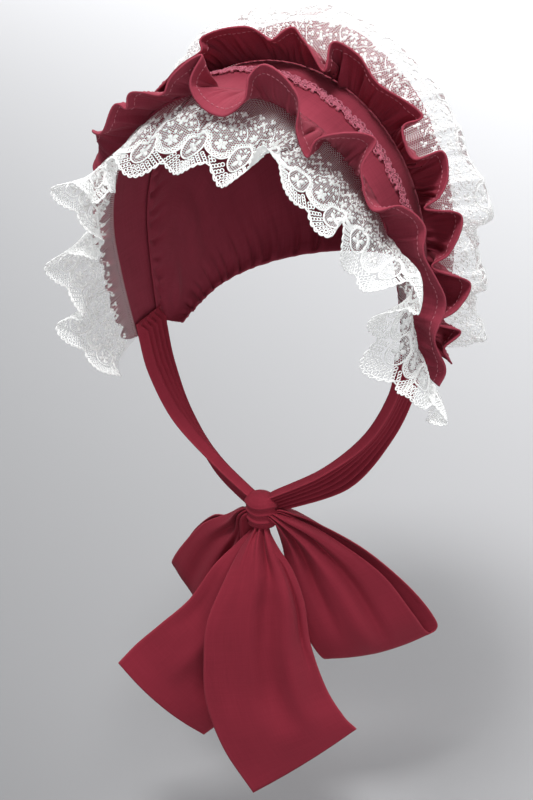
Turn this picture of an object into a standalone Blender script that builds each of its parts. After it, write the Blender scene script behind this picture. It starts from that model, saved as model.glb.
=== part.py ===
"""Ruffled lace bonnet with a bow under the chin. Run in Blender 4.5; metres, +Z up, the wearer faces -Y.

The origin is the point where the crown of the head carries the inside of the band.
"""

import math

import bmesh
import bpy
import numpy as np

MM = 0.001

# Head band: an arch over the head, and two straight legs that draw in a little below the ears.
BAND_HALF_WIDTH = 96 * MM
BAND_RISE = 106 * MM
LEG_DRAW_IN = 10 * MM
BAND_END_DEG = 122.0
FRONT_EDGE_Y = -34 * MM
FRONT_EDGE_SLOPE = 0.016
BACK_EDGE_Y = 25.4 * MM
BACK_EDGE_SLOPE = 0.196
BACK_EDGE_DROP = 2.9 * MM
BAND_BULGE = 1.7 * MM
BAND_THICK = 2.0 * MM

# Cloth thicknesses and the gap that sewn pieces keep.
CLOTH = 1.0 * MM
CROWN_CLOTH = 1.2 * MM
RIBBON_CLOTH = 1.2 * MM
GAP = 0.3 * MM

# Crown bag: the half ellipse of its profile, and its half width from the band to the nape.
CROWN_CENTRE_Y = 56.8 * MM
CROWN_CENTRE_Z = -102.8 * MM
CROWN_DEPTH = 75 * MM
CROWN_HEIGHT = 113.6 * MM
CROWN_ARCHES = 12
SEAM_STEP = 0.8 * MM
CROWN_COLUMNS = ("tilt_deg", "half_width_mm", "pull_in_mm")
CROWN_ROWS = [
    (79.0, 95.2, 5.4),
    (72.0, 93.8, 1.4),
    (65.0, 92.6, 0.2),
    (52.0, 91.2, 0.0),
    (38.0, 90.0, 0.0),
    (22.0, 88.0, 0.0),
    (8.0, 84.0, 3.0),
    (2.0, 80.0, 12.0),
]

# Each row is a fold of a hem: how far round the band it lies, its angle from straight ahead of the
# edge (0) through straight out (90) to folded back over the band (180), and its reach from the seam.
FOLD_COLUMNS = ("hem_deg", "lift_deg", "reach_mm")
FRONT_RUFFLE_FOLDS = [
    (-122, 158, 30), (-113, 164, 33), (-104, 160, 33), (-95, 165, 33), (-86, 160, 33), (-77, 164, 33),
    (-69, 156, 33), (-60, 140, 30), (-51, 84, 19), (-40, 18, 31), (-28, 27, 34), (-25, 18, 32),
    (-21, 29, 34), (-10, 17, 34), (-6, 33, 34), (2, 55, 34), (0, 24, 33), (5, 3, 34),
    (13, 0, 34), (18, 20, 33), (17, 44, 34), (20, 61, 34), (31, 47, 34), (36, 20, 33),
    (43, 8, 34), (42, 30, 34), (51, 68, 35), (55, 40, 33), (65, 28, 34), (68, 55, 33),
    (75, 69, 34), (82, 60, 33), (96, 76, 34), (106, 58, 34), (117, 70, 34), (122, 62, 33),
]
FRONT_LACE_FOLDS = [
    (-123, -26, 62), (-115, -15, 70), (-105, -2, 70), (-99, 1, 70), (-97, -15, 69), (-87, -6, 70),
    (-78, 1, 70), (-71, -17, 69), (-73, -27, 69), (-63, -28, 69), (-58, -14, 69), (-51, 6, 70),
    (-43, -8, 69), (-46, -17, 69), (-35, -21, 69), (-27, -6, 70), (-21, -17, 70), (-8, -21, 69),
    (3, -20, 70), (15, -14, 70), (26, -18, 70), (33, -4, 69), (34, 14, 66), (46, 6, 69),
    (57, 3, 70), (64, 10, 70), (62, 17, 69), (74, 8, 70), (80, 11, 70), (82, 34, 70),
    (89, 36, 69), (88, 16, 69), (101, 7, 70), (111, 17, 70), (113, 28, 69), (119, 34, 70),
    (118, 40, 69), (123, 46, 70), (124, 34, 68),
]
BACK_RUFFLE_FOLDS = [
    (-122, 60, 30), (-111, 40, 33), (-101, 70, 33), (-91, 42, 33), (-81, 70, 33), (-71, 44, 33),
    (-62, 74, 31), (-53, 110, 28), (-44, 152, 32), (-34, 160, 32), (-24, 152, 32), (-15, 146, 32),
    (-14, 131, 33), (-1, 126, 33), (5, 132, 32), (9, 138, 32), (13, 119, 33), (18, 128, 32),
    (28, 148, 32), (25, 117, 33), (32, 113, 33), (42, 123, 33), (54, 108, 34), (54, 130, 32),
    (58, 139, 33), (63, 138, 32), (64, 108, 34), (70, 113, 33), (74, 130, 33), (76, 147, 32),
    (80, 112, 34), (88, 130, 33), (92, 150, 32), (98, 109, 34), (105, 124, 33), (109, 147, 32),
    (112, 121, 34), (117, 138, 32), (122, 128, 32),
]
BACK_LACE_FOLDS = [
    (-123, 12, 62), (-113, 30, 66), (-104, 5, 66), (-94, 28, 66), (-85, 3, 66), (-75, 24, 66),
    (-66, 2, 66), (-56, 20, 66), (-47, 5, 66), (-38, 20, 66), (-29, 24, 66), (-22, 14, 65),
    (-14, 16, 66), (-8, 5, 65), (-3, 4, 65), (4, 9, 66), (10, 12, 66), (15, 5, 66),
    (22, 7, 66), (33, 1, 66), (46, 1, 66), (59, -1, 66), (70, -1, 66), (79, 8, 66),
    (88, 12, 66), (89, -4, 65), (94, -4, 65), (103, 3, 66), (111, 7, 66), (110, -5, 65),
    (115, -4, 65), (122, 4, 66), (128, 11, 66), (127, -4, 65),
]
# The angle at which each strip leaves its seam, by place round the band.
ROOT_COLUMNS = ("deg", "lift_deg")
FRONT_RUFFLE_ROOT = [(60, 34), (70, 50), (80, 78), (122, 80)]
FRONT_LACE_ROOT = [(38, -6), (54, 13), (64, 16), (72, 32), (82, 60), (122, 62)]
BACK_RUFFLE_ROOT = [(0, 104)]
BACK_LACE_ROOT = [(0, 52)]
FRONT_RUFFLE = dict(
    edge="front", folds=FRONT_RUFFLE_FOLDS, root=FRONT_RUFFLE_ROOT,
    root_out=1.75, root_ahead=0.9, bend=0.8, gather=9,
)
FRONT_LACE = dict(
    edge="front", folds=FRONT_LACE_FOLDS, root=FRONT_LACE_ROOT,
    root_out=0.2, root_ahead=1.8, bend=1.3, gather=9,
)
BACK_RUFFLE = dict(
    edge="back", folds=BACK_RUFFLE_FOLDS, root=BACK_RUFFLE_ROOT,
    root_out=2.95, root_ahead=-2.5, bend=0.8, gather=9,
)
BACK_LACE = dict(
    edge="back", folds=BACK_LACE_FOLDS, root=BACK_LACE_ROOT,
    root_out=2.2, root_ahead=0.6, bend=1.2, gather=7,
)

# Braid along the middle of the band: motifs of a ring between bars, four cells long and three wide.
BRAID_WIDTH = 9 * MM
BRAID_THICK = 1.2 * MM
BRAID_MOTIFS = 20
BRAID_END_DEG = 117.0

# Ribbons: the middle of each section, half of its width as a vector, and how far its middle bows out.
RIBBON_COLUMNS = ("x", "y", "z", "half_x", "half_y", "half_z", "bow")
KNOT_CENTRE = (-5.0, -62.0, -265.0)
KNOT_HALF_SIZE = (11.0, 9.0, 12.0)
TIE_ROWS = [
    (93, -21.5, -168.6, -0.4, -14, 0, 0),
    (88, -27, -192, -1, -13, 2, 1),
    (72, -38, -220, -3, -11, 4, 1.5),
    (44, -51, -245, -5, -8, 8, 1.5),
    (11.3, -61, -260, -2, -3, 6, 0.5),
]
TAIL_CENTRE_ROWS = [
    (-5, -67.5, -276.6, 5, 1.2, 0, 1.5),
    (-5, -74, -287, 11, 5, 0, 6),
    (-5, -81, -304, 19, 12, 1, 9),
    (-7, -87, -326, 26, 17, 1, 9),
    (-8, -92, -353, 29, 18, -1, 8),
    (-6, -94, -385, 33, 20, -2, 7),
    (2, -94, -413, 34, 21, 5, 6),
    (12, -91, -436, 30, 21, 17, 3),
]
TAIL_RIGHT_ROWS = [
    (-8, -62, -277.8, 4, 1, -0.5, 1),
    (-14, -68, -291, 9, 3, -3, 3),
    (-22, -77, -312, 14, 5, -12, 6),
    (-34, -85, -344, 19, 6, -22, 8),
    (-50, -93, -366, 23, 6, -27, 7),
    (-67, -101, -383, 24, 5, -29, 6),
    (-80, -107, -395, 23, 7, -29, 7),
]
LOOP_LEFT_ROWS = [
    (8.3, -64, -270, 3, 2, 2, 1),
    (18, -56, -290, 11, 8, 3, 2),
    (31, -50, -322, 24, 17, 2, 4),
    (41, -44, -355, 28, 20, 1, 6),
    (45, -38, -373, 28, 21, 1, 5),
    (47, -33, -378, 28, 21, 1, 4),
    (49, -28, -373, 28, 21, 1, 3),
    (41, -32, -345, 25, 18, 1, 3),
    (27, -41, -308, 18, 12, 1, 2),
    (14, -50, -283, 8, 6, 3, 1),
    (8.3, -57, -269, 3, 2, 2, 0),
]
LOOP_RIGHT_ROWS = [
    (-18.6, -64, -269.5, 3, -1.5, -2.5, 1),
    (-27, -60, -285, 9, -3, -8, 2),
    (-40, -60, -306, 18, -6, -17, 4),
    (-54, -62, -331, 24, -8, -22, 5),
    (-61, -62, -346, 27, -8, -24, 4),
    (-64, -57, -352, 27, -8, -24, 3),
    (-61, -51, -346, 27, -8, -24, 2),
    (-50, -50, -322, 23, -7, -20, 2),
    (-37, -52, -297, 15, -5, -12, 1),
    (-25, -55, -282, 7, -2, -4, 1),
    (-18.6, -58, -271.5, 3, -1.5, -1.5, 0),
]

BURGUNDY = (0.230, 0.030, 0.050)
DEEP_BURGUNDY = (0.180, 0.018, 0.036)
ROSE = (0.420, 0.090, 0.130)
WHITE = (0.800, 0.800, 0.790)


def clear_scene():
    for item in list(bpy.data.objects):
        bpy.data.objects.remove(item, do_unlink=True)


def make_material(name, colour, roughness):
    material = bpy.data.materials.new(name)
    material.use_nodes = True
    shader = material.node_tree.nodes["Principled BSDF"]
    shader.inputs["Base Color"].default_value = (*colour, 1.0)
    shader.inputs["Roughness"].default_value = roughness
    shader.inputs["Metallic"].default_value = 0.0
    material.diffuse_color = (*colour, 1.0)
    return material


def curve_through(rows, samples):
    """A smooth curve through the rows (Catmull-Rom), sampled evenly by row number."""
    rows = np.asarray(rows, float)
    padded = np.vstack([2 * rows[0] - rows[1], rows, 2 * rows[-1] - rows[-2]])
    place = np.linspace(0, len(rows) - 1, samples)
    first = np.minimum(place.astype(int), len(rows) - 2)
    part = (place - first)[:, None]
    before, start, end, after = (padded[first + shift] for shift in range(4))
    bend = (2 * before - 5 * start + 4 * end - after) * part**2
    twist = (3 * start - before - 3 * end + after) * part**3
    return 0.5 * (2 * start + (end - before) * part + bend + twist)


def spread_evenly(points, columns, count):
    """The columns at count places that lie evenly along the line of points."""
    steps = np.linalg.norm(np.diff(points, axis=0), axis=1)
    along = np.concatenate([[0], np.cumsum(steps)])
    wanted = np.linspace(0, along[-1], count)
    return np.stack([np.interp(wanted, along, column) for column in columns.T], axis=1)


def band_arch(degrees):
    """x and z of the arch on the inside of the band; past 90 degrees its legs run down."""
    angle = np.radians(degrees)
    top = np.clip(angle, -math.pi / 2, math.pi / 2)
    leg = np.abs(angle) - np.abs(top)
    x = BAND_HALF_WIDTH * np.sin(top) - np.sign(angle) * LEG_DRAW_IN * leg**2
    z = -BAND_RISE * (1 - np.cos(top)) - BAND_RISE * leg
    return x, z


def band_edge(degrees, edge):
    """Points along the front or back edge of the band."""
    x, z = band_arch(degrees)
    if edge == "front":
        y = FRONT_EDGE_Y + FRONT_EDGE_SLOPE * z
    else:
        y = BACK_EDGE_Y + BACK_EDGE_SLOPE * (z + BACK_EDGE_DROP)
        z = z - BACK_EDGE_DROP
    return np.stack([x, y, z], axis=-1)


def unit(vectors):
    return vectors / np.linalg.norm(vectors, axis=-1, keepdims=True)


def edge_frame(degrees, edge):
    """At each place: straight away from the band, and straight out from the head."""
    along = unit(band_edge(degrees + 0.5, edge) - band_edge(degrees - 0.5, edge))
    ahead = np.zeros_like(along)
    ahead[..., 1] = -1.0 if edge == "front" else 1.0
    ahead = unit(ahead - along * np.sum(ahead * along, axis=-1, keepdims=True))
    outward = np.cross(ahead, along) if edge == "front" else np.cross(along, ahead)
    return ahead, outward


def gathered_strip(edge, folds, root, root_out, root_ahead, bend, gather, columns, rows):
    """Mid surface of a gathered strip, as a grid of columns along the hem by rows from the seam."""
    fine = curve_through(folds, 40 * len(folds))
    ahead, outward = edge_frame(fine[:, 0], edge)
    lift = np.radians(fine[:, 1:2])
    direction = np.cos(lift) * ahead + np.sin(lift) * outward
    hem_line = band_edge(fine[:, 0], edge) + fine[:, 2:3] * MM * direction
    hem = spread_evenly(hem_line, fine, columns)
    # The seam place of each column is the running average of the hem's, so that folds gather to it.
    window = np.hanning(2 * gather + 1)
    before = 2 * hem[0, 0] - hem[gather:0:-1, 0]
    after = 2 * hem[-1, 0] - hem[-2 : -gather - 2 : -1, 0]
    padded = np.concatenate([before, hem[:, 0], after])
    seam = np.maximum.accumulate(np.convolve(padded, window / window.sum(), "valid"))
    seam = np.interp(seam, (seam[0], seam[-1]), (-BAND_END_DEG, BAND_END_DEG))
    root_lift = np.interp(seam, *zip(*root))[:, None]
    depth = np.linspace(0, 1, rows)[None, :]
    ease = depth**bend
    place = seam[:, None] + (hem[:, :1] - seam[:, None]) * ease
    angle = np.radians(root_lift + (hem[:, 1:2] - root_lift) * ease)[..., None]
    reach = (hem[:, 2:3] * depth * MM)[..., None]
    ahead, outward = edge_frame(place, edge)
    start = band_edge(place, edge) + (outward * root_out + ahead * root_ahead) * MM
    return start + reach * (np.cos(angle) * ahead + np.sin(angle) * outward)


def shell_object(name, grid, thickness, material, smooth=True):
    """A closed shell of even thickness about a grid of points."""
    along = np.gradient(grid, axis=0)
    across = np.gradient(grid, axis=1)
    normal = unit(np.cross(along, across))
    count_u, count_v = grid.shape[:2]
    mesh = bmesh.new()
    sides = []
    for side in (0.5, -0.5):
        points = grid + normal * thickness * side
        sides.append([[mesh.verts.new(point) for point in row] for row in points])
    top, bottom = sides
    for i in range(count_u - 1):
        for j in range(count_v - 1):
            mesh.faces.new((top[i][j], top[i + 1][j], top[i + 1][j + 1], top[i][j + 1]))
            mesh.faces.new((bottom[i][j], bottom[i][j + 1], bottom[i + 1][j + 1], bottom[i + 1][j]))
    rim = [(i, 0) for i in range(count_u)] + [(count_u - 1, j) for j in range(1, count_v)]
    rim += [(i, count_v - 1) for i in range(count_u - 2, -1, -1)] + [(0, j) for j in range(count_v - 2, 0, -1)]
    for (i, j), (k, m) in zip(rim, rim[1:] + rim[:1]):
        mesh.faces.new((top[i][j], bottom[i][j], bottom[k][m], top[k][m]))
    return finish_object(name, mesh, material, smooth)


def finish_object(name, mesh, material, smooth=True):
    bmesh.ops.recalc_face_normals(mesh, faces=mesh.faces)
    bmesh.ops.triangulate(mesh, faces=mesh.faces)
    data = bpy.data.meshes.new(name)
    for face in mesh.faces:
        face.smooth = smooth
    mesh.to_mesh(data)
    mesh.free()
    data.materials.append(material)
    made = bpy.data.objects.new(name, data)
    bpy.context.scene.collection.objects.link(made)
    return made


def band_surface(degrees, across, out):
    """Points of the band: across runs from the front edge (0) to the back edge (1)."""
    front = band_edge(degrees, "front")
    back = band_edge(degrees, "back")
    outward = unit(edge_frame(degrees, "front")[1] + edge_frame(degrees, "back")[1])
    middle = front + (back - front) * across
    return middle + outward * (BAND_BULGE * 4 * across * (1 - across) + out)


def build_band(material):
    degrees = np.linspace(-BAND_END_DEG, BAND_END_DEG, 37)[:, None, None]
    across = np.linspace(0, 1, 4)[None, :, None]
    grid = band_surface(degrees[..., 0], across, BAND_THICK / 2)
    return shell_object("head_band", grid, BAND_THICK, material)


def crown_radius(tilt):
    """Distance from the axis through the band's ends to the profile's half ellipse, at this tilt."""
    pivot = band_edge(np.array(BAND_END_DEG), "back")
    y, z = pivot[1] - CROWN_CENTRE_Y, pivot[2] - CROWN_CENTRE_Z
    run, rise = np.cos(tilt), np.sin(tilt)
    a = (run / CROWN_DEPTH) ** 2 + (rise / CROWN_HEIGHT) ** 2
    b = 2 * (y * run / CROWN_DEPTH**2 + z * rise / CROWN_HEIGHT**2)
    c = (y / CROWN_DEPTH) ** 2 + (z / CROWN_HEIGHT) ** 2 - 1
    return (-b + np.sqrt(b * b - 4 * a * c)) / (2 * a)


def build_crown(material):
    """Arches that turn back about the band's ends, from the band's back edge down to the nape."""
    rows = curve_through(CROWN_ROWS, CROWN_ARCHES)
    tilt = np.radians(rows[:, 0])[None, :]
    half_width = rows[:, 1][None, :] * MM
    radius = crown_radius(tilt) - rows[:, 2][None, :] * MM
    degrees = np.linspace(-BAND_END_DEG, BAND_END_DEG, 33)[:, None]
    x, z = band_arch(degrees)
    end_z = band_arch(np.array(BAND_END_DEG))[1]
    rise = (z - end_z) / -end_z
    pivot = band_edge(np.array(BAND_END_DEG), "back")
    grid = np.stack(
        [
            x / BAND_HALF_WIDTH * half_width,
            pivot[1] + SEAM_STEP + rise * radius * np.cos(tilt),
            pivot[2] + rise * radius * np.sin(tilt),
        ],
        axis=-1,
    )
    return shell_object("crown", grid, CROWN_CLOTH, material)


def build_braid(material):
    """A ladder of cells on the band, less the rings' eyes and the notches between the motifs."""
    length = BRAID_MOTIFS * 4
    degrees = np.linspace(-BRAID_END_DEG, BRAID_END_DEG, length + 1)
    front = band_edge(degrees, "front")
    back = band_edge(degrees, "back")
    band_width = np.linalg.norm(back - front, axis=1)
    mesh = bmesh.new()
    corners = {}
    solid = set()
    for i in range(length):
        for j in range(3):
            eye = j == 1 and i % 4 == 1
            notch = j != 1 and i % 4 == 3
            if not eye and not notch:
                solid.add((i, j))
    offsets = [-0.5, -0.2, 0.2, 0.5]

    def corner(i, j, level):
        key = (i, j, level)
        if key not in corners:
            across = 0.5 + offsets[j] * BRAID_WIDTH / band_width[i]
            out = BAND_THICK + GAP + level * BRAID_THICK
            point = band_surface(degrees[i : i + 1], np.array([[across]]), out)[0]
            corners[key] = mesh.verts.new(point)
        return corners[key]

    for i, j in sorted(solid):
        square = [(i, j), (i + 1, j), (i + 1, j + 1), (i, j + 1)]
        mesh.faces.new([corner(*place, 1) for place in square])
        mesh.faces.new([corner(*place, 0) for place in reversed(square)])
        for (first, second), beside in zip(
            zip(square, square[1:] + square[:1]), [(i, j - 1), (i + 1, j), (i, j + 1), (i - 1, j)]
        ):
            if beside not in solid:
                low = [corner(*first, 0), corner(*second, 0)]
                mesh.faces.new(low + [corner(*second, 1), corner(*first, 1)])
    return finish_object("braid_trim", mesh, material)


def ribbon_grid(rows, sections, strips, pleat):
    """Mid surface of a ribbon through the rows, with pleats across it where it is narrow."""
    line = curve_through(rows, sections)
    centre = line[:, None, 0:3] * MM
    half = line[:, None, 3:6] * MM
    along = unit(np.gradient(centre[:, 0], axis=0))[:, None]
    face = unit(np.cross(along, half))
    across = np.linspace(-1, 1, strips)[None, :, None]
    narrow = np.clip(1 - np.linalg.norm(half, axis=-1, keepdims=True) / (30 * MM), 0, 1)
    bow = line[:, None, 6:7] * MM * (1 - across**2)
    fold = pleat * MM * narrow * np.cos(3 * math.pi * across)
    return centre + half * across + face * (bow + fold)


def tie_rows(side):
    """The rows of one tie, for side +1 or -1; its last row meets the knot."""
    rows = [(side * x, y, z, side * hx, hy, hz, side * bow) for x, y, z, hx, hy, hz, bow in TIE_ROWS]
    last = rows[-1]
    return rows[:-1] + [(last[0] + KNOT_CENTRE[0], *last[1:])]


def build_ribbons(material):
    shapes = [
        ("tie_left", tie_rows(1), 11, 1.2),
        ("tie_right", tie_rows(-1), 11, -1.2),
        ("bow_tail_centre", TAIL_CENTRE_ROWS, 13, 1.5),
        ("bow_tail_right", TAIL_RIGHT_ROWS, 12, 1.5),
        ("bow_loop_left", LOOP_LEFT_ROWS, 17, 1.2),
        ("bow_loop_right", LOOP_RIGHT_ROWS, 17, 1.2),
    ]
    for name, rows, sections, pleat in shapes:
        grid = ribbon_grid(rows, sections, 7, pleat)
        shell_object(name, grid, RIBBON_CLOTH, material)


def build_knot(material):
    """A soft block with a waist, where the ribbon wraps round the bow."""
    mesh = bmesh.new()
    bmesh.ops.create_uvsphere(mesh, u_segments=14, v_segments=8, radius=1.0)
    for vert in mesh.verts:
        x, y, z = vert.co
        squared = [math.copysign(abs(value) ** 0.75, value) for value in (x, y, z)]
        waist = 1 - 0.12 * math.cos(math.pi * squared[2]) * (1 if abs(squared[2]) < 0.9 else 0)
        scale = (waist, waist, 1.0)
        vert.co = [
            (middle + half * value * part) * MM
            for middle, half, value, part in zip(KNOT_CENTRE, KNOT_HALF_SIZE, squared, scale)
        ]
    return finish_object("bow_knot", mesh, material)


def main():
    clear_scene()
    cloth = make_material("burgundy_cloth", BURGUNDY, 0.85)
    ribbon = make_material("ribbon_cloth", DEEP_BURGUNDY, 0.8)
    braid = make_material("braid_thread", ROSE, 0.7)
    lace = make_material("white_lace", WHITE, 0.8)
    build_band(cloth)
    build_crown(cloth)
    build_braid(braid)
    for name, strip, material, columns, rows in [
        ("front_ruffle", FRONT_RUFFLE, cloth, 90, 4),
        ("back_ruffle", BACK_RUFFLE, cloth, 84, 4),
        ("front_lace", FRONT_LACE, lace, 90, 5),
        ("back_lace", BACK_LACE, lace, 76, 5),
    ]:
        shell_object(name, gathered_strip(**strip, columns=columns, rows=rows), CLOTH, material)
    build_ribbons(ribbon)
    build_knot(ribbon)


main()
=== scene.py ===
import math

import bpy
import numpy as np
from mathutils import Matrix, Vector


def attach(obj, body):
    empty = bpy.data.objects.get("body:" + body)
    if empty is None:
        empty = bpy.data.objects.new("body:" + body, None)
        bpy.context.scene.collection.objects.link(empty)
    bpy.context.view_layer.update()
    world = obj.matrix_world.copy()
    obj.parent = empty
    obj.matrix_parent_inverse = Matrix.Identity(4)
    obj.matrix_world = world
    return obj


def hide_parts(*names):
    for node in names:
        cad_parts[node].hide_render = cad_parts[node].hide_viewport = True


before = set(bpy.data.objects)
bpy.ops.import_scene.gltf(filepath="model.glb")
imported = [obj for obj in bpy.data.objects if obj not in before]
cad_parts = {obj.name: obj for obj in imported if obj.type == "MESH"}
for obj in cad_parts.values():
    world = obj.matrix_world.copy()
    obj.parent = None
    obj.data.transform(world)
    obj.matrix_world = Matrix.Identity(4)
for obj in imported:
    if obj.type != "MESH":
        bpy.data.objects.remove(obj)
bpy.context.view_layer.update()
mm = 0.001
print("packed model loaded")

# curves, cloth and threads


def curveThrough(rows, samples):
    # Catmull-Rom through the rows, sampled evenly by row number
    rows = np.asarray(rows, float)
    padded = np.vstack([2 * rows[0] - rows[1], rows, 2 * rows[-1] - rows[-2]])
    place = np.linspace(0, len(rows) - 1, samples)
    first = np.minimum(place.astype(int), len(rows) - 2)
    part = (place - first)[:, None]
    before, start, end, after = (padded[first + shift] for shift in range(4))
    bend = (2 * before - 5 * start + 4 * end - after) * part**2
    twist = (3 * start - before - 3 * end + after) * part**3
    return 0.5 * (2 * start + (end - before) * part + bend + twist)


def unit(vectors):
    return vectors / np.maximum(np.linalg.norm(vectors, axis=-1, keepdims=True), 1e-12)


def lengthAlong(points):
    steps = np.linalg.norm(np.diff(points, axis=0), axis=-1)
    return np.concatenate([[0], np.cumsum(steps)])


def spreadEvenly(points, columns, count):
    # the columns at count places, evenly along the line of points
    along = lengthAlong(points)
    wanted = np.linspace(0, along[-1], count)
    return np.stack([np.interp(wanted, along, column) for column in columns.T], axis=1)


def blur(values, reach):
    # running average over 2*reach+1 places, with the ends carried on straight
    window = np.hanning(2 * reach + 3)[1:-1]
    before = 2 * values[0] - values[reach:0:-1]
    after = 2 * values[-1] - values[-2 : -reach - 2 : -1]
    return np.convolve(np.concatenate([before, values, after]), window / window.sum(), "valid")


def smooth(low, high, values):
    part = np.clip((values - low) / (high - low), 0, 1)
    return part * part * (3 - 2 * part)


def ripple(values, pitch, seed):
    # an uneven wave: three sines of unlike pitch, from -1 to 1 or so
    turn = 2 * math.pi * values / pitch
    slow = 0.6 * np.sin(0.618 * turn + 2.3 * seed)
    fast = 0.45 * np.sin(1.71 * turn + 4.1 * seed)
    return (np.sin(turn + seed) + slow + fast) / 1.6


def buildMesh(name, points, faces, flat=None, paintedHighlight=None):
    # points as rows, faces as a list of index arrays, flat places as a UV map in millimetres
    corners = np.concatenate([np.asarray(group).ravel() for group in faces]).astype(np.int32)
    sizes = np.concatenate([np.full(len(group), np.shape(group)[1]) for group in faces]).astype(np.int32)
    starts = np.concatenate([[0], np.cumsum(sizes)[:-1]]).astype(np.int32)
    mesh = bpy.data.meshes.new(name)
    mesh.vertices.add(len(points))
    mesh.vertices.foreach_set("co", np.asarray(points, np.float32).ravel())
    mesh.loops.add(len(corners))
    mesh.loops.foreach_set("vertex_index", corners)
    mesh.polygons.add(len(sizes))
    mesh.polygons.foreach_set("loop_start", starts)
    mesh.polygons.foreach_set("use_smooth", np.ones(len(sizes), bool))
    if flat is not None:
        layer = mesh.uv_layers.new(name="flat")
        layer.uv.foreach_set("vector", np.asarray(flat, np.float32)[corners].ravel())
    # the painted highlight: a per point share of the lighter edge colour
    if paintedHighlight is not None:
        mesh.attributes.new("paintedHighlight", "FLOAT", "POINT").data.foreach_set("value", np.asarray(paintedHighlight, np.float32))
    mesh.update(calc_edges=True)
    mesh.validate()
    made = bpy.data.objects.new(name, mesh)
    bpy.context.scene.collection.objects.link(made)
    return made


def gridFaces(columns, rows, closed=False, start=0):
    # the quads of a grid whose points run row by row within each column
    i = np.arange(columns - 1)[:, None]
    j = np.arange(rows if closed else rows - 1)[None, :]
    k = (j + 1) % rows
    quads = np.stack([i * rows + j, (i + 1) * rows + j, (i + 1) * rows + k, i * rows + k], axis=-1)
    return quads.reshape(-1, 4) + start


def tubeFaces(starts, steps, sides, closed=False):
    # the quads of tubes whose points run ring by ring, each tube from its own start
    i = np.arange(steps if closed else steps - 1)[:, None]
    s = np.arange(sides)[None, :]
    nextI, nextS = (i + 1) % steps, (s + 1) % sides
    corners = [i * sides + s, i * sides + nextS, nextI * sides + nextS, nextI * sides + s]
    return (starts[:, None, None, None] + np.stack(corners, axis=-1)).reshape(-1, 4)


def flatPlaces(u, v):
    # where each point of a grid lies on the flat cloth
    return np.stack(np.broadcast_arrays(u, v), axis=-1)


def gridNormals(grid):
    return unit(np.cross(np.gradient(grid, axis=0), np.gradient(grid, axis=1)))


def shell(name, grid, thickness, flat, paintedHighlight=None):
    # a closed shell: each column's section goes down the outside and back up the inside
    columns, rows = grid.shape[:2]
    thick = np.broadcast_to(np.asarray(thickness), (columns, rows))[..., None] / 2
    normal = gridNormals(grid)
    loop = np.concatenate([grid + normal * thick, (grid - normal * thick)[:, ::-1]], axis=1)
    flatLoop = np.concatenate([flat, flat[:, ::-1]], axis=1)
    faces = gridFaces(columns, 2 * rows, closed=True)
    j = np.arange(rows - 1)
    first = np.stack([j, j + 1, 2 * rows - 2 - j, 2 * rows - 1 - j], axis=1)
    last = first[:, ::-1] + (columns - 1) * 2 * rows
    # the painted highlight runs the same on the inside face
    paintedHighlightLoop = None
    if paintedHighlight is not None:
        paintedHighlightLoop = np.concatenate([paintedHighlight, paintedHighlight[:, ::-1]], axis=1).ravel()
    return buildMesh(name, loop.reshape(-1, 3), [faces, first, last], flatLoop.reshape(-1, 2), paintedHighlightLoop)


class Cloth:
    # a surface that is read at flat places, u along it and v across it, in millimetres
    def __init__(self, grid, length, width):
        self.grid, self.length, self.width = grid, length, width
        self.normal = gridNormals(grid)

    def at(self, u, v, height=0.0):
        columns, rows = self.grid.shape[:2]
        i = np.clip(u / self.length, 0, 1) * (columns - 1)
        j = np.clip(v / self.width, 0, 1) * (rows - 1)
        a, b = np.minimum(i.astype(int), columns - 2), np.minimum(j.astype(int), rows - 2)
        s, t = (i - a)[..., None], (j - b)[..., None]

        def read(values):
            near = values[a, b] * (1 - t) + values[a, b + 1] * t
            far = values[a + 1, b] * (1 - t) + values[a + 1, b + 1] * t
            return near * (1 - s) + far * s

        normal = unit(read(self.normal))
        return read(self.grid) + normal * np.asarray(height)[..., None] * mm, normal


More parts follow.
